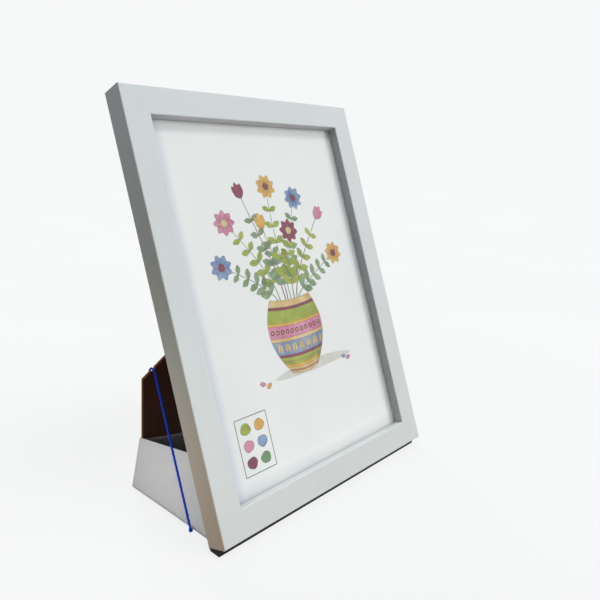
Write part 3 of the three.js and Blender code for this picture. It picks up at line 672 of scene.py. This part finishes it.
# Lining glued on the inside of the leg, with a dipping top edge
lining = {"sideUp": 0.0477, "midUp": 0.033, "hem": 0.002, "thick": 0.0008, "glue": 0.0001, "inset": 0.0006,
          "footHalf": 0.1061, "shoulderHalf": 0.1105, "shoulderUp": 0.103, "columns": 64, "rows": 12}
footAlong = -pin[1] / math.cos(legTilt)
liningDepth = -legThick / 2 - lining["glue"] - lining["thick"] / 2
points = []
for c in range(lining["columns"] + 1):
    t = 2 * c / lining["columns"] - 1
    top = lining["midUp"] + (lining["sideUp"] - lining["midUp"]) * t * t
    for r in range(lining["rows"] + 1):
        up = lining["hem"] + (top - lining["hem"]) * r / lining["rows"]
        edge = lining["footHalf"] + (lining["shoulderHalf"] - lining["footHalf"]) * up / lining["shoulderUp"]
        points.append(fromLeg(t * (edge - lining["inset"]), liningDepth, footAlong + up))
liningPiece = makeMesh("legLining", points, gridFaces(lining["columns"], lining["rows"]), liningCloth)
thicken(liningPiece, lining["thick"])
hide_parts("leg_lining")
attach(liningPiece, "leg")
print("stage: leg lining")

# Printed sheet: paper, toned where the lower and the left lip shade it
sheet = {"wide": 0.210, "high": 0.297, "thick": 0.0004, "front": -0.0088, "bottom": 0.016, "layer": 0.000009,
         "tones": (srgb(246, 247, 249), srgb(250, 250, 249)), "cloudSize": 0.06,
         "toothSize": 0.0007, "tooth": 0.12, "toothDeep": 0.00008, "rough": (0.7, 0.9),
         "ledgeUp": 0.021, "shadeUp": 0.0325, "shade": (0.72, 0.72, 0.73, 1),
         "halfShade": (0.85, 0.85, 0.86, 1), "lipSide": -0.0945, "lipClear": -0.0872,
         "lipShade": (0.76, 0.80, 0.89, 1)}
paper, tree, shader = startMaterial("printPaper")
tooth = addNoise(tree, -lean, sheet["toothSize"], detail=5.0, rough=0.65)
broad = addNoise(tree, -lean, sheet["cloudSize"], detail=2.0)
tone = addTones(tree, broad, softStops, *sheet["tones"])
upright = splitAxes(tree, placedCoords(tree, -lean, 1.0))
frameFoot = backEdge[0] * math.sin(lean) + backEdge[1] * math.cos(lean)
aboveLedge = addRange(tree, upright["Z"], 0.0, 1.0, frameFoot + sheet["ledgeUp"],
                      frameFoot + sheet["shadeUp"])
shade = addRamp(tree, aboveLedge, [(0.0, sheet["shade"]), (0.4, sheet["halfShade"]), (1.0, white)])
besideLip = addRange(tree, upright["X"], 0.0, 1.0, sheet["lipSide"], sheet["lipClear"])
lipShade = addTones(tree, besideLip, (0.0, 1.0), sheet["lipShade"], white)
setSurface(tree, shader, multiply(tree, multiply(tree, tone, shade), lipShade),
           addRange(tree, tooth, *sheet["rough"]), addBump(tree, tooth, sheet["tooth"], sheet["toothDeep"]))


def sheetPoint(a, b, e):  # a from the sheet's left edge and b from its top edge, in millimetres
    return fromFrame(-sheet["wide"] / 2 + a / 1000, e, sheet["bottom"] + sheet["high"] - b / 1000)


def onSheet(a, b, layer):  # layers of paint count up from the paper
    return sheetPoint(a, b, sheet["front"] - layer * sheet["layer"])


wide, high = sheet["wide"] * 1000, sheet["high"] * 1000
corners = ((0, 0), (0, high), (wide, high), (wide, 0))
depths = (sheet["front"], sheet["front"] + sheet["thick"])
points = [sheetPoint(a, b, e) for e in depths for a, b in corners]
faces = [(0, 1, 2, 3), (7, 6, 5, 4), (0, 4, 5, 1), (1, 5, 6, 2), (2, 6, 7, 3), (3, 7, 4, 0)]
sheetPiece = makeMesh("printSheet", points, faces, paper, smooth=False)
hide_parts("printed_sheet")
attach(sheetPiece, "frame")

# Washes of colour whose pigment pools and granulates, from pale to strong
washLook = {"poolSize": 0.013, "poolStops": (0.3, 0.72), "grainSize": 0.0009, "fleck": (0.9, 0.9, 0.9, 1),
            "rough": (0.7, 0.88)}
washTones = {
    "shade": (srgb(232, 228, 222), srgb(214, 210, 205)),
    "sand": (srgb(238, 214, 164), srgb(216, 174, 100)),
    "gold": (srgb(240, 196, 96), srgb(218, 150, 44)),
    "lime": (srgb(186, 198, 70), srgb(134, 156, 32)),
    "pink": (srgb(230, 160, 186), srgb(204, 98, 144)),
    "blue": (srgb(156, 182, 218), srgb(88, 124, 184)),
    "maroon": (srgb(158, 62, 92), srgb(112, 30, 62)),
    "leaf": (srgb(160, 184, 140), srgb(96, 134, 92)),
    "ink": (srgb(104, 82, 72), srgb(66, 50, 50)),
}


def washColour(name, tones):
    material, tree, shader = startMaterial(name)
    pool = addNoise(tree, -lean, washLook["poolSize"], distortion=0.8)
    grain = addNoise(tree, -lean, washLook["grainSize"])
    fleck = addTones(tree, grain, softStops, washLook["fleck"], white)
    colour = multiply(tree, addTones(tree, pool, washLook["poolStops"], *tones), fleck)
    setSurface(tree, shader, colour, addRange(tree, grain, *washLook["rough"]))
    return material


# The drawing, a generic plant study, in millimetres on the sheet
drawing = {"middle": 106, "potTop": 152, "potHigh": 62, "spread": 0.78, "pen": 0.11, "blobSteps": 28,
           "leafSteps": 15, "veinSteps": 4}
shapes = {wash: ([], []) for wash in washTones}  # each wash's points and faces


def drawLine(wash, line, wide, layer, taper=0.0):
    # A stroke along a line of places on the sheet
    points, faces = shapes[wash]
    faces.extend(gridFaces(len(line) - 1, 1, len(points)))
    for i, (a, b) in enumerate(line):
        p, q = line[max(i - 1, 0)], line[min(i + 1, len(line) - 1)]
        d = math.hypot(q[0] - p[0], q[1] - p[1])
        w = wide * (1 - taper * i / (len(line) - 1)) / d
        x, y = -(q[1] - p[1]) * w, (q[0] - p[0]) * w
        points.extend((onSheet(a + x, b + y, layer), onSheet(a - x, b - y, layer)))


def paintShape(wash, outline, layer, penned=True):
    # A filled shape with a fine pen line round it
    points, faces = shapes[wash]
    base, count = len(points), len(outline)
    points.append(onSheet(sum(p[0] for p in outline) / count, sum(p[1] for p in outline) / count, layer))
    points.extend(onSheet(a, b, layer) for a, b in outline)
    for k in range(count):
        faces.append((base, base + 1 + (k + 1) % count, base + 1 + k))
    if penned:
        drawLine("ink", outline + outline[:1], drawing["pen"], layer + 0.5)


def turned(a, b, x, y, turn):
    return (a + x * math.cos(turn) - y * math.sin(turn), b + x * math.sin(turn) + y * math.cos(turn))


def blob(a, b, wide, high, turn=0.0, wobble=0.05, seed=0.0):
    outline = []
    for k in range(drawing["blobSteps"]):
        t = 2 * math.pi * k / drawing["blobSteps"]
        r = 1 + wobble * math.sin(3 * t + seed) + wobble * 0.6 * math.sin(5 * t + 2 * seed)
        outline.append(turned(a, b, wide * r * math.cos(t), high * r * math.sin(t), turn))
    return outline


def leafShape(a, b, long, wide, turn, seed):  # one edge ripples and the other is even
    steps = drawing["leafSteps"]
    outline = []
    for k in range(steps + 1):
        ripple = 1 + 0.1 * math.sin(9 * k / steps + seed)
        outline.append((k / steps, -math.sin(math.pi * k / steps) ** 0.8 * ripple))
    for k in range(steps - 1, 0, -1):
        outline.append((k / steps, math.sin(math.pi * k / steps) ** 0.9))
    return [turned(a, b, x * long, y * wide, turn) for x, y in outline]


def leaf(wash, a, b, long, wide, turn, layer, seed):  # a leaf or petal with its middle vein
    paintShape(wash, leafShape(a, b, long, wide, turn, seed), layer)
    vein = []
    for k in range(drawing["veinSteps"] + 1):
        reach = long * (0.08 + 0.62 * k / drawing["veinSteps"])
        vein.append(turned(a, b, reach, wide * 0.1 * math.sin(k), turn))
    drawLine("ink", vein, drawing["pen"], layer + 0.6, 0.5)


# Flowers, in shares of their reach
flower = {"petals": 8, "petalFrom": 0.15, "petalLong": 0.85, "petalWide": 0.27, "heart": 0.3, "dots": 5,
          "dotsAt": 0.15, "dotMm": 0.3, "tulipLong": 1.5, "tulipWide": 0.36, "tulipFan": 0.36,
          "tulipMiddle": 1.12}


def ringPlaces(a, b, reach, count, turn):  # places round a flower's heart, and the way out at each
    leads = [2 * math.pi * k / count + turn for k in range(count)]
    return [(a + reach * math.cos(lead), b + reach * math.sin(lead), lead) for lead in leads]


def daisy(a, b, reach, wash, heart, layer, turn):
    petals = ringPlaces(a, b, flower["petalFrom"] * reach, flower["petals"], turn)
    for k, (x, y, lead) in enumerate(petals):
        leaf(wash, x, y, flower["petalLong"] * reach, flower["petalWide"] * reach, lead, layer, k)
    paintShape(heart, blob(a, b, flower["heart"] * reach, flower["heart"] * reach, seed=turn), layer + 1)
    for x, y, lead in ringPlaces(a, b, flower["dotsAt"] * reach, flower["dots"], turn):
        paintShape("ink", blob(x, y, flower["dotMm"], flower["dotMm"]), layer + 2, False)


def tulip(a, b, reach, wash, layer, turn):
    for hand, long in ((-1, 1.0), (1, 1.0), (0, flower["tulipMiddle"])):
        leaf(wash, a, b, reach * flower["tulipLong"] * long, flower["tulipWide"] * reach,
             turn + flower["tulipFan"] * hand, layer + (hand == 0), hand)


# The pot: painted bands with rows of dots, points and zigzags, and pen hatching down one side
pot = {"rim": 20, "belly": 14, "taper": 6, "bulge": 2.4, "bandSteps": 16, "sideSteps": 20,
       "hatching": (0.80, 0.85, 0.89, 0.93, 0.96)}
potBands = (("sand", 0.0, 0.09), ("maroon", 0.09, 0.13), ("lime", 0.13, 0.30), ("gold", 0.30, 0.34),
            ("pink", 0.34, 0.50), ("sand", 0.50, 0.55), ("blue", 0.55, 0.73), ("maroon", 0.73, 0.77),
            ("lime", 0.77, 0.87), ("gold", 0.87, 0.91), ("sand", 0.91, 1.0))
# Rows across the pot: how many places each has, how far across it goes and how far down it lies
potRows = {"strokes": (25, 0.96, 0.15), "beads": (11, 0.88, 0.42), "petals": (13, 0.92, 0.715),
           "zigzagFoot": (33, 0.97, 0.845), "zigzagTop": (33, 0.97, 0.80), "dots": (15, 0.9, 0.955)}
potFoot = drawing["potTop"] + drawing["potHigh"]


def potHalf(share):  # half the pot's width from its rim to its foot
    belly = math.sin(math.pi * min(1, share * 0.92 + 0.06)) ** 0.9
    return pot["rim"] + pot["belly"] * belly - pot["taper"] * share


def potPlace(across, share):  # across runs from -1 to 1 over the pot's width
    bulge = pot["bulge"] * (1 - across * across)
    return (drawing["middle"] + across * potHalf(share),
            drawing["potTop"] + drawing["potHigh"] * share + bulge)


def potRow(count, reach, share):  # evenly spaced places across the pot
    middle = (count - 1) // 2
    return [potPlace(reach * (i - middle) / middle, share) for i in range(count)]


def potSide(across, top=0.0, foot=1.0):  # a line down the pot
    return [potPlace(across, top + (foot - top) * k / pot["sideSteps"]) for k in range(pot["sideSteps"] + 1)]


def potBand(wash, top, foot):
    steps = pot["bandSteps"]
    upper, lower = potRow(steps + 1, 1, top), potRow(steps + 1, 1, foot)
    points, faces = shapes[wash]
    faces.extend(gridFaces(1, steps, len(points)))
    points.extend(onSheet(a, b, 2) for a, b in upper + lower)
    drawLine("ink", upper, drawing["pen"], 3)
    drawLine("ink", lower[::-1], drawing["pen"], 3)


paintShape("shade", blob(drawing["middle"] + 12, potFoot - 1, 46, 4.6, -0.03), 1, False)
for wash, top, foot in potBands:
    potBand(wash, top, foot)
for a, b in potRow(*potRows["strokes"]):
    drawLine("ink", [(a, b), (a + 0.2, b + 4), (a, b + 8)], drawing["pen"], 4)
for i, (a, b) in enumerate(potRow(*potRows["beads"])):
    paintShape("maroon", blob(a, b, 1.9, 1.9, seed=i), 4)
    paintShape("sand", blob(a, b, 0.8, 0.8, seed=i), 5, False)
for i, (a, b) in enumerate(potRow(*potRows["petals"])):
    leaf("sand", a, b, 9.4, 1.5, -math.pi / 2 + 0.16 * (-1) ** i, 4, i)
zigzag = zip(potRow(*potRows["zigzagFoot"]), potRow(*potRows["zigzagTop"]))
drawLine("maroon", [pair[i % 2] for i, pair in enumerate(zigzag)], 0.4, 4)
for i, (a, b) in enumerate(potRow(*potRows["dots"])):
    paintShape("maroon", blob(a, b, 0.7, 1.1, seed=i), 4, False)
for across in pot["hatching"]:
    drawLine("ink", potSide(across, 0.02, 0.98), drawing["pen"] * 0.8, 6)
for across in (-1, 1):
    drawLine("ink", potSide(across), drawing["pen"], 6)

# Sprigs: where each starts and ends from the pot's middle, its leaves and its flower
sprigs = [(-14, -64, -88, "lime", "daisy", "pink"), (-8, -34, -112, "leaf", "tulip", "maroon"),
          (0, 2, -124, "lime", "daisy", "gold"), (7, 38, -110, "leaf", "daisy", "blue"),
          (13, 66, -84, "lime", "tulip", "pink"), (16, 84, -42, "leaf", "daisy", "gold"),
          (-17, -80, -44, "leaf", "daisy", "blue"), (-4, -14, -78, "leaf", "tulip", "gold"),
          (5, 22, -74, "lime", "daisy", "maroon")]
sprigLook = {"steps": 14, "bend": 1.35, "sway": 2, "stem": 0.55, "firstLeaf": 3, "leafEvery": 2,
             "leafLong": 17, "leafLess": 0.6, "leafWide": 0.27, "leafOut": 0.75, "leafOutMore": 0.04,
             "daisy": 10.5, "tulip": 8.5, "bloomLayer": 5.5}
for n, (start, reach, rise, wash, kind, bloom) in enumerate(sprigs):
    line = []
    for i in range(sprigLook["steps"] + 1):
        t = i / sprigLook["steps"]
        sway = start + (reach - start) * t ** sprigLook["bend"] + sprigLook["sway"] * math.sin(4 * t + n)
        line.append((drawing["middle"] + drawing["spread"] * sway,
                     drawing["potTop"] + 2 + drawing["spread"] * rise * t))
    leads = [math.atan2(q[1] - p[1], q[0] - p[0]) for p, q in zip(line, line[1:])]
    drawLine("maroon" if n % 3 == 1 else "leaf", line, sprigLook["stem"], 1.5, 0.5)
    for i in range(sprigLook["firstLeaf"], sprigLook["steps"] - 1, sprigLook["leafEvery"]):
        size = drawing["spread"] * (sprigLook["leafLong"] - sprigLook["leafLess"] * i)
        for hand in (-1, 1):
            lead = leads[i - 1] + hand * (sprigLook["leafOut"] + sprigLook["leafOutMore"] * i)
            leaf(wash, *line[i], size, size * sprigLook["leafWide"], lead, 2 + n % 3, n + i)
    if kind == "daisy":
        heart = "sand" if bloom in ("pink", "maroon") else "maroon"
        daisy(*line[-1], sprigLook["daisy"], bloom, heart, sprigLook["bloomLayer"], n)
    else:
        tulip(*line[-1], sprigLook["tulip"], bloom, sprigLook["bloomLayer"], leads[-1])

# Fallen petals beside the pot: how far each lies from its middle, its colour and its turn
fallen = [(-52, "pink", 0.3), (-40, "gold", 2.6), (46, "blue", 0.2), (58, "pink", 2.9)]
for n, (away, wash, turn) in enumerate(fallen):
    leaf(wash, drawing["middle"] + away, potFoot + 2 * (n % 2), 6.5, 1.9, turn, 2, n)

# A small bordered card of colour patches in the lower left corner
keyCard = {"left": 22, "top": 234, "wide": 31, "high": 43, "edge": 0.3, "patch": 4.9}
left, top = keyCard["left"], keyCard["top"]
right, bottom = left + keyCard["wide"], top + keyCard["high"]
corners = [(left, top), (right, top), (right, bottom), (left, bottom)]
for k in range(4):
    drawLine("ink", [corners[k], corners[(k + 1) % 4]], keyCard["edge"], 1)
for k, wash in enumerate(("lime", "gold", "pink", "blue", "maroon", "leaf")):
    a = left + keyCard["wide"] * (0.28 + 0.44 * (k % 2))
    b = top + keyCard["high"] * (0.2 + 0.3 * (k // 2))
    paintShape(wash, blob(a, b, keyCard["patch"], keyCard["patch"] * 0.9, seed=k), 1)
for wash, (points, faces) in shapes.items():
    material = washColour("wash" + wash.capitalize(), washTones[wash])
    piece = makeMesh("print" + wash.capitalize(), points, faces, material, smooth=False)
    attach(piece, "frame")
print("stage: printed sheet")

# Floor: an even pale glow where it is seen, with a share of true shadow near the frame, and a dull bounce
floorLook = {"pale": srgb(247, 248, 248), "paler": srgb(249, 250, 250), "cloudSize": 0.4,
             "bounce": (0.30, 0.28, 0.26, 1), "rough": 0.9, "gloss": 0.1, "shadow": 0.14, "shadowFrom": 0.15,
             "shadowTo": 0.6, "half": 6, "drop": -0.0003}


def seenRays(tree):  # rays that show the background: straight, in gloss and through glass
    rays = tree.nodes.new("ShaderNodeLightPath").outputs
    seen = addMath(tree, "MAXIMUM", rays["Is Camera Ray"], rays["Is Glossy Ray"])
    return addMath(tree, "MAXIMUM", seen, rays["Is Transmission Ray"])


paleFloor, tree, shader = startMaterial("paleFloor")
seen = seenRays(tree)
cloud = addNoise(tree, 0, floorLook["cloudSize"], detail=2.0)
soft = addTones(tree, cloud, softStops, floorLook["pale"], floorLook["paler"])
tree.links.new(mixColours(tree, seen, floorLook["bounce"], soft), shader.inputs["Base Color"])
setSockets(shader, {"Roughness": floorLook["rough"], "Specular IOR Level": floorLook["gloss"]})
glow = addNode(tree, "ShaderNodeEmission", {"Strength": 1.0})
tree.links.new(soft, glow.inputs["Color"])
coords = tree.nodes.new("ShaderNodeTexCoord")
away = addMath(tree, "LENGTH", coords.outputs["Object"], kind="VectorMath")
fade = addRange(tree, away, 1 - floorLook["shadow"], 1.0, floorLook["shadowFrom"], floorLook["shadowTo"],
                "SMOOTHSTEP")
mixShaders(tree, addMath(tree, "MULTIPLY", seen, fade), shader.outputs["BSDF"], glow.outputs["Emission"])
reach, drop = floorLook["half"], floorLook["drop"]
points = [(-reach, -reach, drop), (reach, -reach, drop), (reach, reach, drop), (-reach, reach, drop)]
floor = makeMesh("floor", points, [(0, 1, 2, 3)], paleFloor, smooth=False)

# Sky: brighter towards one side, and plain to rays that see it
skyLook = {"from": (0.45, -0.3, 0.85), "glow": (0.03, 0.57), "glowFrom": -0.5}
world = bpy.data.worlds.new("studio")
bpy.context.scene.world = world
world.use_nodes = True
tree = world.node_tree
sky = tree.nodes["Background"]
sky.inputs["Color"].default_value = white
coords = tree.nodes.new("ShaderNodeTexCoord")
brightest = Vector(skyLook["from"]).normalized()
towards = addMath(tree, "DOT_PRODUCT", coords.outputs["Generated"], brightest, kind="VectorMath")
tree.links.new(addRange(tree, towards, *skyLook["glow"], skyLook["glowFrom"]), sky.inputs["Strength"])
plain = addNode(tree, "ShaderNodeBackground", {"Color": floorLook["pale"], "Strength": 1.0})
mixShaders(tree, seenRays(tree), sky.outputs["Background"], plain.outputs["Background"], "World Output")

# Lamps: those in front stay out of reflections, because they would show as boxes in the glazing
lampAim = (0, 0, 0.15)
areaLamps = {"keyLight": {"place": (0.3, -1.6, 2.9), "power": 24.0, "size": 0.8, "mirrored": False},
             "frontLight": {"place": (2.9, -4.4, 2.05), "power": 112.0, "size": 1.8, "mirrored": False},
             "backLight": {"place": (0.9, 2.4, 1.3), "power": 36.0, "size": 1.4, "mirrored": True}}
snootLook = {"place": (-0.45, -0.06, 0.2), "aim": (-0.11, 0.025, 0.035), "power": 3.4,
             "spread": math.radians(27), "blend": 0.6, "soft": 0.09}


def addLight(name, kind, place, aim, power, mirrored):
    lamp = bpy.data.lights.new(name, kind)
    lamp.energy = power
    item = bpy.data.objects.new(name, lamp)
    bpy.context.scene.collection.objects.link(item)
    item.location = place
    item.rotation_euler = (Vector(aim) - Vector(place)).to_track_quat("-Z", "Y").to_euler()
    item.visible_glossy = mirrored
    item.visible_transmission = mirrored
    return lamp


for name, look in areaLamps.items():
    lamp = addLight(name, "AREA", look["place"], lampAim, look["power"], look["mirrored"])
    lamp.size = look["size"]
snoot = addLight("snootLight", "SPOT", snootLook["place"], snootLook["aim"], snootLook["power"], True)
snoot.spot_size = snootLook["spread"]
snoot.spot_blend = snootLook["blend"]
snoot.shadow_soft_size = snootLook["soft"]
print("stage: floor and light")
